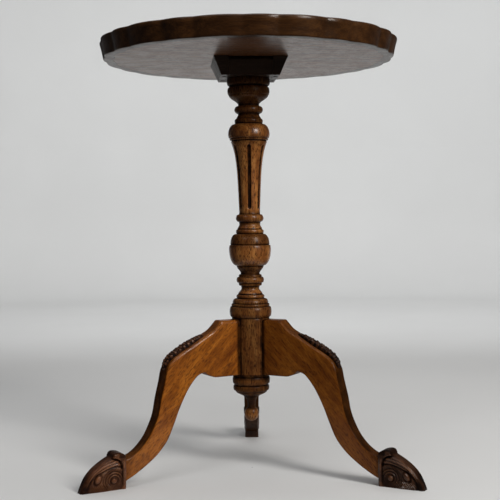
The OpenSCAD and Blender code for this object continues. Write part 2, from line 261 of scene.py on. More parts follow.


# Shares of a wood's deep or light tone: in a pore, on a worn edge, and under the darkest stain and painted
# shade
PORE_SHADE = 0.3
WORN_SHADE = 1.35
STAIN_AND_SHADE_SHARE = (0.08, 0.11, 0.30)
# Where the mixed grain noises pass from the deep to the light tone
TONE_RANGE = (0.28, 0.72)
# Tint of the wood's own shine under the lacquer
WARM = (1.0, 0.72, 0.5)


def wood(name, deep, middle, light, turn=(0, 0, 0), shift=(0, 0, 0), bands=0.05, gloss=0.36,
         coat=0.25, coat_rough=0.14, patina_and_shade=0.5, patina_and_shade_reach=0.012, wear=0.3, flecks=0.6, cad=False):
    """Lacquered wood whose grain runs along the piece's own Z axis, after a turn.

    deep, middle and light are its tones, and bands is the share of its growth rings. gloss is its
    roughness, and coat and coat_rough the lacquer's strength and roughness. patina_and_shade is how
    dark its recesses are, with patina and painted shade, and patina_and_shade_reach, in metres, how
    wide; wear is how much lighter its edges are, and flecks how dark its pores. cad is for the CAD
    nodes, which have no stock place and neither stain nor painted shade of their own."""
    material, tree, shader = new_material(name)
    if cad:
        place_in = node(tree, "ShaderNodeTexCoord").outputs["Object"]
        stain_and_shade = 0.0
    else:
        place_in = node(tree, "ShaderNodeAttribute", attribute_name="stock").outputs["Vector"]
        stain_and_shade = node(tree, "ShaderNodeAttribute", attribute_name="stain_and_shade").outputs["Fac"]
    turned_in = node(tree, "ShaderNodeMapping",
                     {"Vector": place_in, "Rotation": turn, "Location": shift}).outputs[0]
    sway = noise(tree, stretched(tree, turned_in, (9, 9, 2.5)), 1.0, 2.0)
    sway = node(tree, "ShaderNodeCombineXYZ", {0: calc(tree, "MULTIPLY", sway, 0.03),
                                               1: calc(tree, "MULTIPLY", sway, 0.02)}).outputs[0]
    grain = node(tree, "ShaderNodeVectorMath", {0: turned_in, 1: sway}, operation="ADD").outputs[0]

    ring = node(tree, "ShaderNodeTexWave",
                {"Vector": stretched(tree, grain, (1, 1, 0.12)), "Scale": 34.0, "Distortion": 3.5,
                 "Detail": 3.0, "Detail Scale": 1.1, "Detail Roughness": 0.6},
                wave_type="BANDS", bands_direction="DIAGONAL", wave_profile="SIN").outputs[0]
    fibre = noise(tree, stretched(tree, grain, (620, 620, 40)), 1.0, 3.0, 0.62)
    streak = noise(tree, stretched(tree, grain, (150, 150, 12)), 1.0, 3.0, 0.6)
    figure = noise(tree, stretched(tree, turned_in, (36, 36, 16)), 1.0, 3.0, 0.55, 0.8)
    pore = noise(tree, stretched(tree, grain, (640, 640, 135)), 1.0, 2.0, 0.6)
    pore_mask = spread(tree, pore, 0.50, 0.64)

    tone = calc(tree, "MULTIPLY", ring, bands)
    for value, share in ((fibre, 0.28), (streak, 0.28), (figure, 0.44 - bands)):
        tone = calc(tree, "ADD", tone, calc(tree, "MULTIPLY", value, share))
    tone = spread(tree, tone, *TONE_RANGE)
    colour = ramp(tree, tone, ((0.0, deep), (0.5, middle), (1.0, light)))
    pore_tone = tuple(PORE_SHADE * c for c in deep)
    colour = blend(tree, calc(tree, "MULTIPLY", pore_mask, flecks), colour, (*pore_tone, 1))

    bend = node(tree, "ShaderNodeNewGeometry").outputs["Pointiness"]
    worn = calc(tree, "MULTIPLY", spread(tree, bend, 0.515, 0.60), wear)
    worn_tone = tuple(min(1.0, WORN_SHADE * c) for c in light)
    colour = blend(tree, worn, colour, (*worn_tone, 1))
    # Patina and painted shade: recesses and concave places are painted darker, from occlusion within the
    # piece and from the bend of the surface
    open_air = node(tree, "ShaderNodeAmbientOcclusion", {"Distance": patina_and_shade_reach},
                    samples=6, only_local=True).outputs["AO"]
    closed = spread(tree, open_air, 0.95, 0.35)
    sunk = spread(tree, bend, 0.49, 0.42)
    cloud = spread(tree, noise(tree, place_in, 55.0, 3.0, 0.6), 0.35, 0.65, 0.88, 1.06)
    stain_and_shade = calc(tree, "MULTIPLY", stain_and_shade, cloud, True)
    dark = calc(tree, "MAXIMUM", calc(tree, "MULTIPLY", calc(tree, "MAXIMUM", closed, sunk), patina_and_shade), stain_and_shade)
    dark_tone = tuple(shade * c for shade, c in zip(STAIN_AND_SHADE_SHARE, deep))
    colour = blend(tree, dark, colour, (*dark_tone, 1))
    tree.links.new(colour, shader.inputs["Base Color"])

    smudge = noise(tree, place_in, 38.0, 3.0, 0.6)
    rough = calc(tree, "ADD", spread(tree, smudge, 0.3, 0.7, gloss - 0.05, gloss + 0.07),
                 calc(tree, "MULTIPLY", pore_mask, 0.15))
    rough = calc(tree, "ADD", rough, calc(tree, "MULTIPLY", dark, 0.2), True)
    tree.links.new(rough, shader.inputs["Roughness"])
    height = calc(tree, "SUBTRACT", calc(tree, "MULTIPLY", fibre, 0.5), pore_mask)
    bump = node(tree, "ShaderNodeBump",
                {"Strength": 0.35, "Distance": 0.00025, "Height": height}).outputs[0]
    ripple = noise(tree, place_in, 160.0, 2.0)
    coat_height = calc(tree, "ADD", calc(tree, "MULTIPLY", ripple, 0.8),
                       calc(tree, "MULTIPLY", height, 0.35))
    coat_bump = node(tree, "ShaderNodeBump",
                     {"Strength": 0.18, "Distance": 0.0004, "Height": coat_height}).outputs[0]
    tree.links.new(bump, shader.inputs["Normal"])
    tree.links.new(coat_bump, shader.inputs["Coat Normal"])
    shader.inputs["IOR"].default_value = 1.45
    # The polish is dull where the wood is darker: with stain and patina, and where painted shade lies
    tree.links.new(spread(tree, dark, 0.0, 0.9, 0.18, 0.05), shader.inputs["Specular IOR Level"])
    tree.links.new(spread(tree, dark, 0.0, 0.9, coat, 0.12 * coat), shader.inputs["Coat Weight"])
    shader.inputs["Specular Tint"].default_value = (*WARM, 1)
    shader.inputs["Coat Roughness"].default_value = coat_rough
    return material


def metal(name, bright, dull, rough):
    """Old metal: brushed, with a dull film, and recesses darkened by grime and painted shade."""
    material, tree, shader = new_material(name)
    place_in = node(tree, "ShaderNodeTexCoord").outputs["Object"]
    film = noise(tree, place_in, 210.0, 4.0, 0.65)
    line = noise(tree, stretched(tree, place_in, (60, 60, 900)), 1.0, 2.0)
    # Grime and painted shade: recesses are painted darker where the metal is occluded
    open_air = node(tree, "ShaderNodeAmbientOcclusion", {"Distance": 0.004}, samples=6).outputs["AO"]
    colour = blend(tree, spread(tree, film, 0.40, 0.66), (*bright, 1), (*dull, 1))
    grime_and_shade = tuple(0.18 * c for c in dull)
    colour = blend(tree, spread(tree, open_air, 0.75, 0.3, 0.0, 0.8), colour, (*grime_and_shade, 1))
    tree.links.new(colour, shader.inputs["Base Color"])
    tree.links.new(spread(tree, calc(tree, "ADD", film, calc(tree, "MULTIPLY", line, 0.4)), 0.4, 1.0,
                          rough - 0.1, rough + 0.18), shader.inputs["Roughness"])
    bump = node(tree, "ShaderNodeBump", {"Strength": 0.25, "Distance": 0.0002, "Height": line}).outputs[0]
    tree.links.new(bump, shader.inputs["Normal"])
    shader.inputs["Metallic"].default_value = 1.0
    return material


def paper(name, tone, rough):
    """The studio's matt backdrop, with a faint unevenness."""
    material, tree, shader = new_material(name)
    place_in = node(tree, "ShaderNodeTexCoord").outputs["Object"]
    cloud = noise(tree, place_in, 1.3, 3.0)
    lighter = tuple(min(1.0, c * 1.03) for c in tone)
    colour = blend(tree, spread(tree, cloud, 0.35, 0.65), (*tone, 1), (*lighter, 1))
    tree.links.new(colour, shader.inputs["Base Color"])
    shader.inputs["Roughness"].default_value = rough
    shader.inputs["Specular IOR Level"].default_value = 0.25
    return material


# Grain runs along each piece's own axis: up the column, along the chord of a leg, across the top
LEG_GRAIN = (0, math.radians(42), 0)
ACROSS = (0, math.radians(90), 0)

# Painted light and shade: each side's wood and its carving has its own shade, lighter where that leg looks
# lit and darker where it looks shaded; and each side its own lacquer
SIDE_PAINTED_SHADES = {"left": (1.2, 0.82, 0.5), "right": (0.74, 0.38, 0.3), "rear": (0.32, 0.3, 0.15)}
LEG_TONES = (0.097, 0.022, 0.002), (0.230, 0.066, 0.006), (0.38, 0.125, 0.014)
CARVED_TONES = (0.062, 0.019, 0.008), (0.160, 0.056, 0.023), (0.34, 0.135, 0.052)
LEG_WOOD, CARVED_WOOD = {}, {}
for nth, (leg_side, (leg_painted_shade, carved_painted_shade, lacquer)) in enumerate(SIDE_PAINTED_SHADES.items()):
    LEG_WOOD[leg_side] = wood(
        f"leg_mahogany_{leg_side}", *(tuple(leg_painted_shade * c for c in tone) for tone in LEG_TONES),
        turn=LEG_GRAIN, shift=(0.1 + 0.3 * nth, 0.2, 0.3), coat=lacquer, coat_rough=0.19, patina_and_shade=0.6,
        wear=0.3)
    CARVED_WOOD[leg_side] = wood(
        f"carved_mahogany_{leg_side}", *(tuple(carved_painted_shade * c for c in tone) for tone in CARVED_TONES),
        turn=LEG_GRAIN, shift=(0.7, 0.3 * nth, 0.2), coat=0.5, coat_rough=0.2, patina_and_shade=0.95,
        patina_and_shade_reach=0.007, wear=0.9, flecks=0.5)
COLUMN_WOOD = wood("column_mahogany", (0.150, 0.038, 0.007), (0.37, 0.130, 0.028), (0.68, 0.30, 0.080),
                   shift=(0.4, 0.1, 0.0), coat=0.9, coat_rough=0.26, patina_and_shade=1.0, patina_and_shade_reach=0.014,
                   wear=0.5, flecks=0.8)
TOP_WOOD = wood("top_mahogany", (0.085, 0.030, 0.012), (0.150, 0.058, 0.022), (0.23, 0.095, 0.038),
                turn=ACROSS, shift=(0.0, 0.3, 0.9), bands=0.15, coat=0.38, coat_rough=0.18, patina_and_shade=0.6,
                wear=0.2, flecks=0.35)
RIM_WOOD = wood("rim_mahogany", (0.018, 0.0056, 0.0012), (0.044, 0.0162, 0.0045), (0.092, 0.0365, 0.0105),
                turn=ACROSS, shift=(0.2, 0.6, 0.1), coat=0.4, coat_rough=0.19, patina_and_shade=0.6, wear=0.25,
                flecks=0.3)
BLOCK_WOOD = wood("block_mahogany", (0.016, 0.009, 0.006), (0.032, 0.019, 0.013), (0.058, 0.034, 0.023),
                  turn=ACROSS, shift=(0.5, 0.5, 0.0), coat=0.12, coat_rough=0.25, patina_and_shade=0.6, wear=0.3,
                  flecks=0.3, cad=True)
PALE_WOOD = wood("plain_hardwood", (0.26, 0.15, 0.07), (0.38, 0.24, 0.12), (0.50, 0.34, 0.19),
                 gloss=0.5, coat=0.1, coat_rough=0.4, patina_and_shade=0.4, wear=0.1, flecks=0.3, cad=True)
BRASS = metal("aged_brass", (0.62, 0.42, 0.16), (0.30, 0.19, 0.08), 0.34)
STEEL = metal("dull_steel", (0.42, 0.42, 0.43), (0.20, 0.18, 0.17), 0.42)


# ---------------------------------------------------------------- the top

def far_side(d, r, a):
    """How far a ray from the centre goes to the far side of a circle that it meets at angle a."""
    return d * np.cos(a) + np.sqrt(r * r - (d * np.sin(a)) ** 2)


def outline():
    """Angles and radii of the scalloped outline at the underside, its inner corners eased."""
    steps, ease = 44, 0.8
    step = 2 * math.pi / LOBES
    a = np.arange(LOBES * steps) * step / steps
    in_step = a % step
    large = far_side(UNDER_REACH - LOBE_R, LOBE_R, in_step - step / 2)
    small = far_side(UNDER_REACH - SMALL_LOBE_BACK - SMALL_LOBE_R, SMALL_LOBE_R,
                     np.minimum(in_step, step - in_step))
    reach = np.maximum(large, small) + ease * np.log1p(np.exp(-np.abs(large - small) / ease))
    return a, np.minimum(reach, UNDER_REACH)


def rim_ring(a, reach, inward, z, lean=0.0):
    """A ring of points that lies inward of the outline, at a height."""
    r = reach * (UNDER_REACH + lean - inward) / UNDER_REACH
    return np.stack([r * np.cos(a), r * np.sin(a), np.full_like(a, z)], axis=1)


def rim():
    """A carved rim: leaning outer face, round top bead, fillet, and a cove down to the tray."""
    a, reach = outline()
    bead_w, bead_h, cove_w, cove_h = 4.6, 4.4, 12.0, 6.4
    fillet = [(9.9, 706.4), (11.0, 706.2)]
    bead = [(0.3 + bead_w * (1 - math.cos(t)), TABLE_H - bead_h + bead_h * math.sin(t))
            for t in np.linspace(0, math.radians(150), 14)]
    cove = [(23.2 - cove_w * math.sin(t), BOARD_Z + 0.1 + cove_h * (1 - math.cos(t)))
            for t in np.linspace(math.radians(90), 0, 12)]
    # Each place on the section is a distance in from the outer face's line, and a height
    section = [(RIM_W, UNDER_Z), (1.4, UNDER_Z), (0.5, UNDER_Z + 0.3), (0.1, UNDER_Z + 1.1)]
    section += [(0.35 * math.sin(math.pi * t), UNDER_Z + 1.1 + (TABLE_H - 6.2 - UNDER_Z) * t)
                for t in np.linspace(0.06, 1, 9)]
    section += bead + fillet + cove
    section += [(RIM_W + 0.05, BOARD_Z + 0.02), (RIM_W, BOARD_Z - 1)]
    rings = []
    for inward, z in section:
        lean = RIM_LEAN * (z - UNDER_Z) / (TABLE_H - UNDER_Z)
        rings.append(rim_ring(a, reach, inward, z, lean))
    faces = quads(len(rings), len(a), wrap_rows=True)
    return piece("rim", np.array(rings).reshape(-1, 3), faces, RIM_WOOD)


def board():
    """The round board inside the rim, its lower edge just eased."""
    a, reach = outline()
    gap, ease = 0.1, 0.3
    section = ((RIM_W + gap + ease, UNDER_Z), (RIM_W + gap, UNDER_Z + ease), (RIM_W + gap, BOARD_Z))
    verts, faces = capped([rim_ring(a, reach, inward, z) for inward, z in section])
    return piece("board", verts, faces, TOP_WOOD)


# ---------------------------------------------------------------- turned parts

def shaft_radius(z):
    """An even taper that flares towards the top, as in the CAD part."""
    narrow, taper, flare = 17.4, 4.6, 8.1
    t = (np.asarray(z, float) - SHAFT[0]) / (SHAFT[1] - SHAFT[0])
    return narrow + taper * t + flare * np.clip(t, 0, None) ** 5


# Members of the turnings, from below: height, radius, and how the cut gets there from the one before
COLUMN_LOW = (
    (HUB_Z, HUB_R, "line"), (159.6, HUB_R, "line"), (161.5, HUB_R, "line"), (200.0, HUB_R, "line"),
    (HUB_TOP_Z - 5.0, HUB_R, "line"), (HUB_TOP_Z - 1.0, HUB_R, "line"), (HUB_TOP_Z, HUB_R - 0.6, "line"),
    (HUB_TOP_Z + 0.4, HUB_R, "line"),
    (263.2, 35.0, "across"), (271.6, 32.6, "along"), (272.4, 30.6, "line"),
    (274.2, 31.8, "across"), (276.4, 30.4, "along"), (277.0, 29.0, "line"), (278.0, 29.8, "line"),
    (285.0, 24.4, "along"), (285.8, 22.0, "line"), (288.6, 23.4, "across"), (291.4, 21.4, "along"),
    (292.2, 20.4, "line"), (302.2, 14.8, "wave"), (305.8, 15.4, "line"), (306.6, 18.2, "line"),
    (307.8, 19.0, "across"), (310.2, 19.4, "line"), (310.6, 18.6, "line"), (311.2, 20.0, "line"),
    (316.0, 22.9, "across"), (320.8, 20.0, "along"), (321.4, 18.6, "line"), (321.8, 19.4, "line"),
    (323.8, 19.0, "line"), (324.8, 18.2, "along"), (325.4, 16.0, "line"), (326.8, 15.8, "line"),
    (338.6, 22.2, "wave"), (340.0, 22.8, "line"), (367.0, 35.0, "across"), (373.8, 33.6, "along"),
    (374.6, 31.8, "line"), (375.8, 32.6, "line"), (392.4, 23.8, "along"), (393.2, 22.0, "line"),
    (396.8, 23.2, "across"), (399.6, 21.6, "along"), (400.4, 20.6, "line"), (408.6, 17.4, "wave"),
    (412.0, 17.8, "line"), (412.8, 18.8, "line"), (418.8, 23.0, "across"), (425.0, 18.6, "along"),
    (426.0, 17.6, "line"),
)
COLUMN_HIGH = (
    (546.2, 29.0, "line"), (547.0, 28.8, "line"), (548.0, 30.6, "line"), (550.0, 32.2, "across"),
    (550.5, 31.6, "line"), (551.2, 31.8, "line"), (551.8, 32.8, "line"), (557.4, 34.4, "across"),
    (574.6, 24.6, "along"), (575.6, 22.2, "line"), (579.8, 23.4, "across"), (583.4, 21.4, "along"),
    (584.2, 20.4, "line"), (590.4, 17.6, "wave"), (592.4, 18.2, "line"),
    (598.6, 23.7, "across"), (604.6, 18.2, "along"), (606.4, 17.3, "line"), (622.6, 32.8, "wave"),
    (629.0, 34.9, "across"), (635.0, 33.4, "along"), (636.4, 32.0, "line"), (638.0, 32.2, "line"),
    (638.6, 33.6, "line"), (644.4, 35.7, "across"), (SHOULDER_Z, 34.8, "along"),
    (SHOULDER_Z, TENON_R, "line"), (UNDER_Z - 0.5, TENON_R, "line"),
)
PENDANT = (
    (79.2, 0.4, "line"), (91.0, 11.9, "across"), (101.2, 6.8, "along"), (105.0, 6.3, "line"),
    (120.0, 12.4, "along"), (129.6, 26.0, "wave"), (131.6, 28.2, "line"), (135.6, 30.0, "across"),
    (139.6, 29.4, "along"), (140.4, 28.0, "line"), (142.0, 28.0, "line"), (142.8, 29.6, "line"),
    (149.4, 31.2, "across"), (154.6, 30.0, "along"), (155.0, 28.6, "line"), (HUB_Z, 28.6, "line"),
    (HUB_Z + 0.4, 20.0, "line"),
)


# Painted light and shade: how dark the turned parts are painted at each height, darker where a member looks
# shaded and lighter where it looks lit
COLUMN_PAINTED_LIGHT_AND_SHADE = np.array((
    (79, 0.62), (89, 0.50), (97, 0.58), (102, 0.92), (120, 0.96), (130, 0.84), (150, 0.78), (154, 0.98),
    (160, 0.98), (161, 0.74), (249, 0.74), (254, 0.80), (262, 0.55), (272, 0.75), (286, 0.60),
    (296, 0.20), (303, 0.60), (308, 0.70), (315, 0.42), (325, 0.86), (338, 0.72), (342, 0.50),
    (350, 0.20), (366, 0.15), (372, 0.50), (377, 0.66), (391, 0.70), (395, 0.55), (397, 0.30),
    (404, 0.25), (410, 0.60), (419, 0.40), (428, 0.55), (432, 0.12), (442, 0.0), (535, 0.0),
    (542, 0.35), (549, 0.55), (554, 0.30), (558, 0.0), (570, 0.05), (575, 0.60), (583, 0.66),
    (590, 0.72), (599, 0.48), (610, 0.72), (630, 0.66), (652, 0.82),
))


# How dark the painted shade gets in grooves and along joints
DARKEST = 0.95
# How far up and down a groove is compared with what lies around it
GROOVE_REACH = 3.2
# Degrees from a leg's middle to its side, on the hub
LEG_SIDE = 25.5


def lathe(name, profile, segments, cut=None):
    """A turned solid; cut takes angles, heights and radii and gives the radii after carving."""
    a = np.arange(segments) * 2 * math.pi / segments
    # Painted shade: narrow grooves are painted darker than the swellings on either side
    around = [profile[np.abs(profile[:, 1] - z) < GROOVE_REACH, 0].mean() for z in profile[:, 1]]
    groove = DARKEST * smooth(around - profile[:, 0], 0.1, 0.9)
    # Painted shade: the hub is painted dark along the lines where the legs' sides meet it
    joints = np.radians([angle + side * LEG_SIDE for angle in LEG_ANGLES.values() for side in (1, -1)])
    off = np.abs((a[:, None] - joints + math.pi) % (2 * math.pi) - math.pi).min(axis=1)
    rings, stain_and_shade = [], []
    for (r, z), valley in zip(profile, groove):
        radii = np.full_like(a, r)
        if cut is not None:
            radii = cut(a, z, radii)
        rings.append(np.stack([radii * np.cos(a), radii * np.sin(a), np.full_like(a, z)], axis=1))
        # Painted shade: the bottoms of the flutes are painted almost black
        tone = np.maximum(max(np.interp(z, *COLUMN_PAINTED_LIGHT_AND_SHADE.T), valley), smooth(r - radii, 0.3, 1.6))
        in_hub = HUB_Z <= z <= HUB_TOP_Z
        stain_and_shade.append(np.maximum(tone, DARKEST * in_hub * (1 - smooth(np.degrees(off), 4.5, 9.0))))
    verts, faces = capped(rings)
    return piece(name, verts, faces, COLUMN_WOOD, sharp=50, stain_and_shade=np.append(np.ravel(stain_and_shade), (0.8, 0.8)))


def fluted(a, z, radii):
    """Cuts the round-ended flutes, the first of which faces -Y."""
    past = max(FLUTE_SPAN[0] - z, z - FLUTE_SPAN[1], 0.0)
    if past >= FLUTE_R:
        return radii
    step = 2 * math.pi / FLUTES
    off = (a + math.pi / 2 + step / 2) % step - step / 2
    sideways = radii * np.sin(off)
    depth = np.sqrt(np.clip(FLUTE_R ** 2 - sideways ** 2 - past ** 2, 0, None)) - FLUTE_OUT
    return radii - np.clip(depth, 0, None)


def column():
    """The hub, the turnings and the fluted shaft in one piece."""
    z = np.linspace(*SHAFT, 150)
    shaft = np.stack([shaft_radius(z), z], axis=1)
    profile = np.vstack([turned(COLUMN_LOW), shaft, turned(COLUMN_HIGH)])
    return lathe("turned_column", profile, 240, fluted)


def pendant():
    """The turned drop under the hub."""
    return lathe("turned_pendant", turned(PENDANT), 96)


# ---------------------------------------------------------------- legs

# Edges of a leg in its own plane: distance from the column's axis, and height
LEG_TOP = ((31, 251.5), (62, 251.5), (76, 237.5), (90, 229.5), (115, 215.5), (139, 202.5), (154, 191.5),
           (162, 178), (166, 160), (172.5, 134), (177, 112), (183, 96), (194, 76), (208, 60), (222, 50),
           (FOOT_R, 46))
LEG_UNDER = ((94, 170), (107, 165), (122, 148), (133.5, 128.5), (142, 111), (150, 91.5), (162, 66.5),
             (179, 46.5), (198.5, 31.3), (217, 20), (FOOT_R, 12))
LEG_ARCH = ((31, 160), (66, 160), (76, 160.6), (87, 164.5), (94, 170))
ARRIS, SLIM_ARRIS, LOW_ARRIS = 5.0, 3.2, 1.6
# The place on a leg's upper edge that lies over the cusp of its arch
CUSP = np.array([122.0, 211.5])
# Rows of points on a leg, on either side of the cusp
LEG_ROWS = (60, 130)


def leg_edges():
    """Matching points of a leg's upper and lower edge, from the hub to the foot."""
    top = np.vstack([np.linspace(*LEG_TOP[:2], 12)[:-1], spline(LEG_TOP[1:], 14)])
    arch = np.vstack([np.linspace(*LEG_ARCH[:2], 12)[:-1], spline(LEG_ARCH[1:], 10)])
    split = int(np.argmin(np.linalg.norm(top - CUSP, axis=1)))
    near, far = LEG_ROWS
    upper = np.vstack([resample(top[:split + 1], near)[:-1], resample(top[split:], far)])
    lower = np.vstack([resample(arch, near)[:-1], resample(spline(LEG_UNDER, 14), far)])
    return upper, lower


def leg_half(r):
    """Half the leg's thickness: it thins to the ankle and swells again at the foot."""
    thinning, swelling = 2.0, 0.9
    return LEG_T / 2 - thinning * smooth(r, 150, 200) + swelling * smooth(r, 208, FOOT_R)


def leg_stain_and_shade(points, depth, tall):
    """How dark a leg is painted at places in its plane: darkest on the outer edge, with painted shade along
    the lower edge, down the sides near the foot and at the hub joint, and darker towards the foot joint.
    """
    r = points[..., 0]
    edge = 0.40 * smooth(r, 60, 72) + 0.45 * smooth(r, 140, 168) - 0.15 * smooth(r, 200, 228)
    stain_and_shade = edge * (1 - smooth(depth, 0.8, 3.0))
    # Painted shade along the leg's lower edge
    stain_and_shade = np.maximum(stain_and_shade, 0.62 * smooth(depth - tall, -2.2, -0.4))
    # Painted shade down the sides near the foot, below the upper edge
    stain_and_shade = np.maximum(stain_and_shade, 0.60 * smooth(r, 200, 232) * (1 - smooth(depth / tall, 0.1, 0.6)))
    # Darker towards the foot and the collar
    stain_and_shade = np.maximum(stain_and_shade, 0.24 * smooth(r, 175, 215) + 0.25 * smooth(r, 224, FOOT_R))
    # Painted shade where the leg meets the hub
    reach = np.hypot(r, points[..., 1])
    return np.maximum(stain_and_shade, DARKEST * (1 - smooth(reach, HUB_R + 3.0, HUB_R + 7.0)))


def leg_section(half, arris, tall):
    """A leg's section: places across, and depths below the upper edge."""
    corner = np.linspace(0, math.pi / 2, 6)
    ring = []
    for s, t in ((1, 0), (1, 1), (-1, 1), (-1, 0)):
        # One quarter of the section: s is the side and t the edge, 0 above and 1 below
        radius = arris if t == 0 else LOW_ARRIS
        turns = corner if (s, t) in ((1, 0), (-1, 1)) else corner[::-1]
        for c in turns:
            y = s * (half - radius + radius * math.sin(c))
            d = radius - radius * math.cos(c)
            ring.append((y, d if t == 0 else tall - d))
    # Extra rows on the flat sides and edges, so that the skin follows the curve
    flat, side_rows, edge_rows = 8.0, 8, 6
    full = []
    for (y0, d0), (y1, d1) in zip(ring, ring[1:] + ring[:1]):
        full.append((y0, d0))
        if abs(d1 - d0) > flat:
            full += [(y0, d0 + (d1 - d0) * k / side_rows) for k in range(1, side_rows)]
        elif abs(y1 - y0) > flat:
            full += [(y0 + (y1 - y0) * k / edge_rows, d0) for k in range(1, edge_rows)]
    return full


def leg(side):
    """A flat-sided cabriole leg with rounded arrises, in its own plane (distance, across, height)."""
    upper, lower = leg_edges()
    rings, depths = [], []
    for u, w in zip(upper, lower):
        down = unit(w - u)
        tall = np.linalg.norm(w - u)
        half = float(leg_half(0.5 * (u[0] + w[0])))
        arris = float(ARRIS + (SLIM_ARRIS - ARRIS) * smooth(u[0], 140, 175))
        section = leg_section(half, arris, tall)
        rings.append([(u[0] + down[0] * d, y, u[1] + down[1] * d) for y, d in section])
        depths.append([(d, tall) for _, d in section])
    rings, depths = np.array(rings), np.array(depths)
    # The shoulder is scribed to the round hub
    fit = np.sqrt(HUB_R ** 2 - rings[0, :, 1] ** 2) - rings[0, :, 0]
    scribed = (31.0, 46.0)
    near = np.clip((scribed[1] - rings[:, :, 0]) / (scribed[1] - scribed[0]), 0, 1)
    rings[:, :, 0] += near * fit[None, :]
    stain_and_shade = leg_stain_and_shade(rings, depths[..., 0], depths[..., 1])
    verts, faces = capped(rings)
    obj = piece(f"leg_{side}_wood", verts, faces, LEG_WOOD[side], stain_and_shade=np.append(stain_and_shade, (0.5, 0.5)))
    return place(obj, "base", "leg_wood", f"leg_{side}", turn=math.radians(LEG_ANGLES[side]))


# ---------------------------------------------------------------- carved feet

# Places on a foot's side: distance from the column's axis, and height
FOOT_BACK = ((FOOT_R, 0), (FOOT_R, 52), (237, 55), (243, 57.2), (249.5, 57.8), (254.0, 56.2),
             (255.5, 53.0))
FOOT_FRONT = ((256.3, 51.0), (264, 47.6), (274, 42.2), (286.2, 33.8), (296.2, 23.2), (302.6, 11.8),
              (305.8, 4.3), (306.6, 0))
VOLUTE = np.array([253.5, 14.8])
CURL = np.array([279.5, 19.5])
LEAF_TOP = ((249, 47.5), (259.4, 44.3), (271.8, 40.0), (282.8, 33.2), (291, 24.8), (297, 14), (300.5, 4))
LEAF_FOOT = ((242, 35.5), (251, 36.5), (262, 34.5), (273, 30.2), (283, 25.8), (290.5, 17.8), (295, 8),
             (296.5, 0))
LIP = ((240.6, 35.0), (241.4, 41.0), (243.6, 45.6), (247.4, 48.4), (252, 50.0), (258, 51.4))


# The rings of a foot's side grow from here
FOOT_MIDDLE = np.array([266.0, 14.0])
# The least and the most that a carved side stands out from the foot's middle plane
FOOT_DEPTH = (1.0, 14.9)
# Points on the foot's outline: up the joint, over the hood, down the toe and along the sole
OUTLINE_COUNTS = (49, 44, 149, 54)


def foot_outline():
    """The foot's closed outline, and for each point how round its edge is and how wide its ridge."""
    back = np.vstack([[FOOT_BACK[0]], spline(FOOT_BACK[1:], 10)])
    front = spline(FOOT_FRONT, 12)
    sole = np.array([front[-1], FOOT_BACK[0]], float)
    joint_n, hood_n, toe_n, sole_n = OUTLINE_COUNTS
    parts = [resample(back[:2], joint_n + 1)[:-1], resample(back[1:], hood_n),
             resample(front, toe_n + 1)[1:], resample(sole, sole_n + 2)[1:-1]]
    soft = np.repeat((1.2, 3.4, 5.0, 1.5), OUTLINE_COUNTS)
    ridge = np.repeat((0.94, 0.72, 0.30, 0.92), OUTLINE_COUNTS)
    return np.vstack(parts), soft, ridge


def ease_ring(values, width):
    """Smooths values that run round a closed outline."""
    kernel = np.exp(-0.5 * (np.arange(-3 * width, 3 * width + 1) / width) ** 2)
    kernel /= kernel.sum()
    pad = 3 * width
    return np.convolve(np.concatenate([values[-pad:], values, values[:pad]]), kernel, "same")[pad:-pad]


def line_relief(points, line, width):
    """1 on a line, falling smoothly to 0 with distance from it."""
    gap, _ = distance(points, line)
    return np.exp(-(gap / width) ** 2)


def scroll_relief(p):
    """A small eye, and ridges that wind out from it above and die away below."""
    v = p - VOLUTE
    rho = np.linalg.norm(v, axis=1)
    angle = np.arctan2(v[:, 1], v[:, 0])
    pitch, eye = 4.2, 4.4
    wind = rho / pitch - (angle - math.radians(60)) / (2 * math.pi)
    coil = np.cos(2 * math.pi * wind) * smooth(rho, 4.0, 6.5) * (1 - smooth(rho, 15.0, 19.0))
    coil *= 0.45 + 0.40 * np.cos(angle - math.radians(75))
    sunk = 1.0 * (1 - smooth(rho, 17.0, 21.0))
    ring = 1.1 * np.exp(-((rho - 5.4) / 0.9) ** 2) * (0.6 + 0.4 * np.cos(angle))
    return coil + 2.4 * np.sqrt(np.clip(1 - (rho / eye) ** 2, 0, 1)) - sunk - ring


def curl_relief(p):
    """The small curl in front of the scroll, with a deep hollow round its lower side."""
    lean = math.radians(-62)
    c = p - CURL
    along = c[:, 0] * math.cos(lean) + c[:, 1] * math.sin(lean)
    across = -c[:, 0] * math.sin(lean) + c[:, 1] * math.cos(lean)
    oval = np.sqrt((along / 6.6) ** 2 + (across / 4.0) ** 2)
    hollow = np.exp(-((oval - 1.3) / 0.3) ** 2) * (0.55 + 0.45 * smooth(c[:, 0], -2, 3))
    return 2.6 * np.sqrt(np.clip(1 - oval ** 2, 0, 1)) - 2.0 * hollow


def leaf_relief(p):
    """The leaf that covers the toe: a broad roll and a slim one, and a soft furrow under them."""
    r, h = p[:, 0], p[:, 1]
    foot_line = resample(spline(LEAF_FOOT, 8), 120)
    top_gap, _ = distance(p, spline(LEAF_TOP, 8))
    foot_gap, run = distance(p, foot_line)
    over_foot = h - np.interp(r, foot_line[:, 0], foot_line[:, 1], right=-9)
    in_leaf = smooth(over_foot, -0.3, 0.6) * smooth(r, 241, 247)
    share = top_gap / np.maximum(top_gap + foot_gap, 1e-6)
    rolls = np.abs(np.sin(2 * math.pi * np.clip(share, 0, 1))) ** 0.8 * (1 - smooth(run, 0.66, 0.92))
    furrow = np.exp(-(foot_gap / 1.6) ** 2) * (1 - 0.6 * smooth(run, 0.7, 1.0))
    return in_leaf * (1.5 + 0.6 * (share < 0.5)) * rolls - 0.5 * in_leaf - 2.0 * furrow


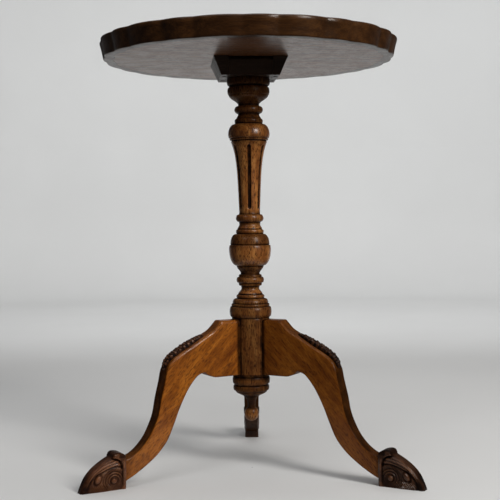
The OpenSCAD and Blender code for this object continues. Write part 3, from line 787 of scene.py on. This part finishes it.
def gouge_relief(p):
    """Strokes below the curl, from the sole up and back towards the scroll, and small marks all over."""
    r, h = p[:, 0], p[:, 1]
    stroke = np.cos(2 * math.pi * (r + 0.75 * h) / 3.3)
    low = smooth(r, 259, 264) * (1 - smooth(r + 0.4 * h, 292, 298)) * (1 - smooth(h, 9, 14))
    marks = np.sin(2.1 * r + 1.3 * np.sin(0.9 * h)) * np.cos(1.7 * h - 0.8 * r)
    return 0.9 * stroke * low + 0.22 * marks


def collar_relief(p):
    """The bead against the leg, and the lip that curls over the top with a hollow beneath it."""
    r, h = p[:, 0], p[:, 1]
    bead = np.exp(-((r - 236.4) / 2.0) ** 2) * (1 - smooth(h, 40, 47))
    valley = np.exp(-((r - 239.6) / 1.1) ** 2) * (1 - smooth(h, 36, 42)) * smooth(h, 4, 9)
    lip = resample(spline(LIP, 6), 80)
    over_lip = h - np.interp(r, lip[:, 0], lip[:, 1])
    roll = np.exp(-((over_lip - 1.0) / 1.0) ** 2) * smooth(r, 240, 243) * (1 - smooth(r, 257, 260))
    return 1.0 * bead - 1.8 * valley - 3.2 * line_relief(p, lip - (0, 1.6), 1.6) + 1.6 * roll


def foot_relief(p):
    """Height of the carving at places (distance, height) on the foot's side."""
    return scroll_relief(p) + curl_relief(p) + leaf_relief(p) + gouge_relief(p) + collar_relief(p)


def foot_half(p):
    """Half the foot's width before carving: it narrows to the toe and to the sole."""
    r, h = p[:, 0], p[:, 1]
    widest, toe_less, sole_less = 13.2, 3.4, 1.4
    return widest - toe_less * smooth(r, 252, 308) - sole_less * (1 - smooth(h, 0, 26))


def foot_stain_and_shade(p, relief):
    """How dark the foot's side is painted: painted shade in the carving's hollows, and darker at the toe,
    near the top and on the hood.
    """
    r, h = p[:, 0], p[:, 1]
    # Painted shade where the relief is sunk, and darker towards the toe
    tone = 0.78 * smooth(-relief, -0.9, 1.4) + 0.55 * smooth(r, 282, 300)
    tone += 0.30 * smooth(h, 40, 46) * (1 - smooth(r, 262, 272))
    hood = smooth(h, 47, 50) * (1 - smooth(r, 255, 258))
    return np.maximum(np.clip(tone, 0, 0.95), 0.85 * hood * (1 - 0.5 * smooth(relief, 0.9, 1.5)))


def foot_skin(edge, soft, ridge, share):
    """One ring of the foot's side, at a share of the way out from its middle, and how dark it is painted,
    with painted shade in its hollows.
    """
    toe_from, sole_from = sum(OUTLINE_COUNTS[:2]), sum(OUTLINE_COUNTS[:3])
    p = FOOT_MIDDLE + (edge - FOOT_MIDDLE) * share
    gap, _ = distance(p, edge[:sole_from + 1])
    toe_gap, _ = distance(p, edge[toe_from:sole_from + 1])
    lift = np.clip(gap / soft, 0, 1)
    curve = ridge + (1 - ridge) * np.sqrt(1 - (1 - lift) ** 2)
    # The carving fades out towards the edges
    fade = smooth(np.minimum(gap, p[:, 1] + 1.0), 0.0, 2.2)
    fade = fade * smooth(toe_gap + 3 * (p[:, 0] < 258), 0.5, 4.0)
    relief = foot_relief(p) * fade
    y = np.clip(foot_half(p) * curve + relief, *FOOT_DEPTH)
    return np.stack([p[:, 0], y, p[:, 1]], axis=1), foot_stain_and_shade(p, relief)


def foot(side):
    """A carved scroll foot: two carved sides, joined over the toe's ridge."""
    edge, soft, ridge = foot_outline()
    soft, ridge = ease_ring(soft, 4), ease_ring(ridge, 4)
    shares = np.concatenate([np.linspace(0.03, 0.86, 44), np.linspace(0.875, 1.0, 12)])
    near, stain_and_shade = map(np.array, zip(*(foot_skin(edge, soft, ridge, share) for share in shares)))
    # Across the edge, from one side to the other
    over = np.array([near[-1] * (1, math.cos(math.pi * k / 10), 1) for k in range(1, 10)])
    rings = np.concatenate([near, over, near[::-1] * (1, -1, 1)])
    x, z = over[0, :, 0], over[0, :, 2]
    crest = 0.50 + 0.30 * smooth(z, 49, 52) + 0.40 * smooth(x, 285, 300)
    stain_and_shade = np.concatenate([stain_and_shade, np.tile(crest, (len(over), 1)), stain_and_shade[::-1]])
    verts, faces = capped(rings)
    obj = piece(f"foot_{side}_carved", verts, [f[::-1] for f in faces], CARVED_WOOD[side], sharp=60,
                stain_and_shade=np.append(stain_and_shade, (0.2, 0.2)))
    return place(obj, "base", "carved_wood", f"foot_{side}", turn=math.radians(LEG_ANGLES[side]))


# ---------------------------------------------------------------- carved knees

# Points of the leg's upper edge between which the carving lies, and half its width
KNEE_FROM, KNEE_TO = 3, 7
KNEE_HALF = 9.4
# How far the beads are apart along and across, their radius and height, and the height of their band
BEAD_STEP, BEAD_WIDE, BEAD_R, BEAD_H = 4.4, 5.4, 2.9, 3.2
CROWN_H = 4.2
# How deep the carving's rim and its back lie in the leg
KNEE_SUNK, KNEE_BACK = 0.8, 1.2


def knee_beads(s, w):
    """Height of the beads, from 0 to 1, at places along and across the carving."""
    beads = np.zeros_like(s)
    for i in range(int(s.max() / BEAD_STEP) + 1):
        for j in range(-2, 3):
            ds = (s - (i + 0.3) * BEAD_STEP) / BEAD_R
            dw = (w - (j + 0.5 * (i % 2)) * BEAD_WIDE) / BEAD_R
            # Every bead is cut a little higher or lower than its neighbours
            size = 0.85 + 0.15 * math.cos(2.4 * i + 1.7 * j)
            beads = np.maximum(beads, size * np.sqrt(np.clip(1 - ds ** 2 - dw ** 2, 0, 1)))
    return beads


def knee(side):
    """A leaf of close-set round beads along the knee's upper edge."""
    steps = 14
    curve = spline(LEG_TOP[1:], steps)
    line = resample(curve[(KNEE_FROM - 1) * steps:(KNEE_TO - 1) * steps + 1], 260)
    run = lengths(line)
    tangent = unit(np.gradient(line, axis=0))
    normal = np.stack([-tangent[:, 1], tangent[:, 0]], axis=1)
    across = np.linspace(-1, 1, 61)
    leaf = np.clip(np.sin(math.pi * run / run[-1]), 0, 1) ** 0.4
    width = KNEE_HALF * (0.35 + 0.65 * leaf)
    s = np.repeat(run[:, None], len(across), axis=1)
    w = width[:, None] * across[None, :]
    beads = knee_beads(s, w)
    edge_fade = 1 - smooth(np.abs(across), 0.88, 1.0)[None, :]
    crown = CROWN_H * leaf[:, None] * (1 - 0.15 * across[None, :] ** 2)
    height = -KNEE_SUNK + (crown + BEAD_H * beads * leaf[:, None] + KNEE_SUNK) * edge_fade
    verts = np.stack([line[:, None, 0] + normal[:, None, 0] * height, w,
                      line[:, None, 1] + normal[:, None, 1] * height], axis=2)
    below = verts.copy()
    below[:, :, 0] = line[:, None, 0] - normal[:, None, 0] * KNEE_BACK
    below[:, :, 2] = line[:, None, 1] - normal[:, None, 1] * KNEE_BACK
    # Painted shade: the valleys between the beads are painted darker than their tops
    stain_and_shade = 0.15 + 0.85 * (1 - smooth(beads, 0.45, 0.85) * edge_fade)
    points, faces = capped(np.concatenate([verts, below[:, ::-1, :]], axis=1))
    obj = piece(f"knee_{side}_carved", points, [f[::-1] for f in faces], CARVED_WOOD[side], sharp=70,
                stain_and_shade=np.append(np.concatenate([stain_and_shade, stain_and_shade[:, ::-1]], axis=1), (1, 1)))
    return place(obj, "base", "carved_wood", f"knee_carving_{side}", turn=math.radians(LEG_ANGLES[side]))


# ---------------------------------------------------------------- CAD nodes that stay

KEPT = {
    "bearer_left": (BLOCK_WOOD, 0.9), "bearer_right": (BLOCK_WOOD, 0.9), "tilt_block": (BLOCK_WOOD, 0.9),
    "tenon_wedge": (PALE_WOOD, 0.0), "foot_dowels": (PALE_WOOD, 0.0),
    "bearer_screws": (STEEL, 0.15), "pivot_pins": (STEEL, 0.3),
    "catch_plate": (BRASS, 0.3), "catch_bolt": (BRASS, 0.3), "catch_knob": (BRASS, 0.0),
    "catch_screws": (BRASS, 0.1), "keeper": (BRASS, 0.25), "keeper_screws": (BRASS, 0.1),
}


def dress_kept():
    """Gives the CAD nodes that stay their material and eased edges."""
    for name, (material, ease) in KEPT.items():
        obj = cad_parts[name]
        obj.data.materials.clear()
        obj.data.materials.append(material)
        obj.modifiers.new("weld", "WELD").merge_threshold = 1e-6
        if ease:
            bevel = obj.modifiers.new("ease", "BEVEL")
            bevel.width, bevel.segments = ease * MM, 3
            bevel.limit_method, bevel.angle_limit = "ANGLE", math.radians(40)
        obj.modifiers.new("shade", "WEIGHTED_NORMAL")


# ---------------------------------------------------------------- studio

# In metres: the wall's distance and height, how high it shows in the lacquer, the bend's radius
# and distance, and how far out the floor goes all round and then behind
WALL_R, WALL_H, SHINY_H = 4.02, 3.8, 0.8
BEND_R, BEND_FROM = 0.5, 3.5
FLOOR_R, FLOOR_BACK = 0.42, 1.6
# Directions, in degrees from +X, between which the wall is behind the table
BACK_FROM, BACK_TO = 48, 132


def studio():
    """A pale floor that curves up into a round wall, and soft lights.

    Only the floor and the foot of the wall behind show in the lacquer: the room is dark in front."""
    cover = paper("studio_paper", (0.72, 0.72, 0.715), 0.7)
    bend = [(BEND_FROM + BEND_R * math.sin(t), BEND_R * (1 - math.cos(t)))
            for t in np.linspace(0, math.radians(88), 16)]

    def shell(name, rows, start, end, in_gloss, bounces=True):
        """Part of the room's skin, through rows of (distance, height).

        in_gloss shows it in reflections, and bounces lets it throw light back."""
        a = np.radians(np.linspace(start, end, 1 + (end - start) // 4))
        rings = [np.stack([r * np.cos(a), r * np.sin(a), np.full_like(a, z)], axis=1) / MM for r, z in rows]
        faces = quads(len(rings), len(a), wrap_cols=False)
        obj = piece(name, np.array(rings).reshape(-1, 3), faces, cover, sharp=60)
        obj.visible_glossy, obj.visible_diffuse = in_gloss, bounces

    near, far, top = (0.001, 0), (FLOOR_R, 0), (WALL_R, WALL_H)
    low = [far, (FLOOR_BACK, 0)] + bend + [(WALL_R, SHINY_H)]
    shell("studio_floor", [near, far], 0, 360, True)
    shell("studio_back", low, BACK_FROM, BACK_TO, True)
    shell("studio_wall", [low[-1], top], BACK_FROM, BACK_TO, False)
    shell("studio_front", low + [top], BACK_TO, BACK_FROM + 360, False, bounces=False)

    def area(name, azimuth, elevation, reach, target, size, energy, tone, cone=180):
        """A soft light; azimuth 0 is in front and 90 to the right, and cone is how wide it shines."""
        lamp = bpy.data.lights.new(name, "AREA")
        lamp.shape, lamp.size, lamp.size_y = "RECTANGLE", size[0], size[1]
        lamp.energy, lamp.color = energy, tone
        lamp.spread = math.radians(cone)
        obj = bpy.data.objects.new(name, lamp)
        a, e = math.radians(azimuth), math.radians(elevation)
        way = Vector((math.sin(a) * math.cos(e), -math.cos(a) * math.cos(e), math.sin(e)))
        obj.location = Vector(target) + reach * way
        obj.rotation_euler = way.to_track_quat("Z", "Y").to_euler()
        obj.visible_camera = False
        bpy.context.scene.collection.objects.link(obj)

    area("key_light", 42, 31, 3.0, (0, 0, 0.35), (0.8, 1.6), 66, (1.0, 0.98, 0.95))
    area("front_light", 0, 62, 3.4, (0, 0, 0.3), (1.6, 1.2), 17, (1.0, 1.0, 1.0))
    area("fill_light", -38, 44, 3.0, (0, 0, 0.3), (0.8, 0.8), 5.5, (0.97, 0.98, 1.0))
    area("top_light", 180, 84, 3.3, (0, 0.5, 0), (3.0, 3.0), 34, (1.0, 1.0, 1.0))
    area("wall_light", 0, 20, 2.8, (0.2, 4.0, 0.95), (3.2, 0.8), 28, (0.97, 0.99, 1.0), cone=150)

    world = bpy.data.worlds.new("studio")
    world.use_nodes = True
    background = world.node_tree.nodes["Background"]
    background.inputs[0].default_value = (0.93, 0.96, 1.0, 1)
    background.inputs[1].default_value = 0.045
    bpy.context.scene.world = world


def camera():
    """The photograph's camera: just above half height, looking slightly down."""
    data = bpy.data.cameras.new("camera")
    data.lens, data.sensor_width = 72.96, 36.0
    obj = bpy.data.objects.new("camera", data)
    obj.location = (0, -1.691, 0.4205)
    pitch, roll = math.radians(-1.857), math.radians(-0.57)
    look = Matrix.Rotation(math.radians(90) + pitch, 4, "X") @ Matrix.Rotation(roll, 4, "Z")
    obj.rotation_euler = look.to_euler()
    bpy.context.scene.collection.objects.link(obj)
    bpy.context.scene.camera = obj


# ---------------------------------------------------------------- the whole scene

camera()
studio()
place(rim(), "top", "rim_wood", "rim_moulding", turn=HEAD_TURN)
place(board(), "top", "top_wood", "top_board", turn=HEAD_TURN)
place(column(), "base", "column_wood", "column")
place(pendant(), "base", "column_wood", "pendant")
for leg_side in LEG_ANGLES:
    leg(leg_side)
    foot(leg_side)
    knee(leg_side)
dress_kept()
bpy.context.scene.view_settings.view_transform = "Standard"
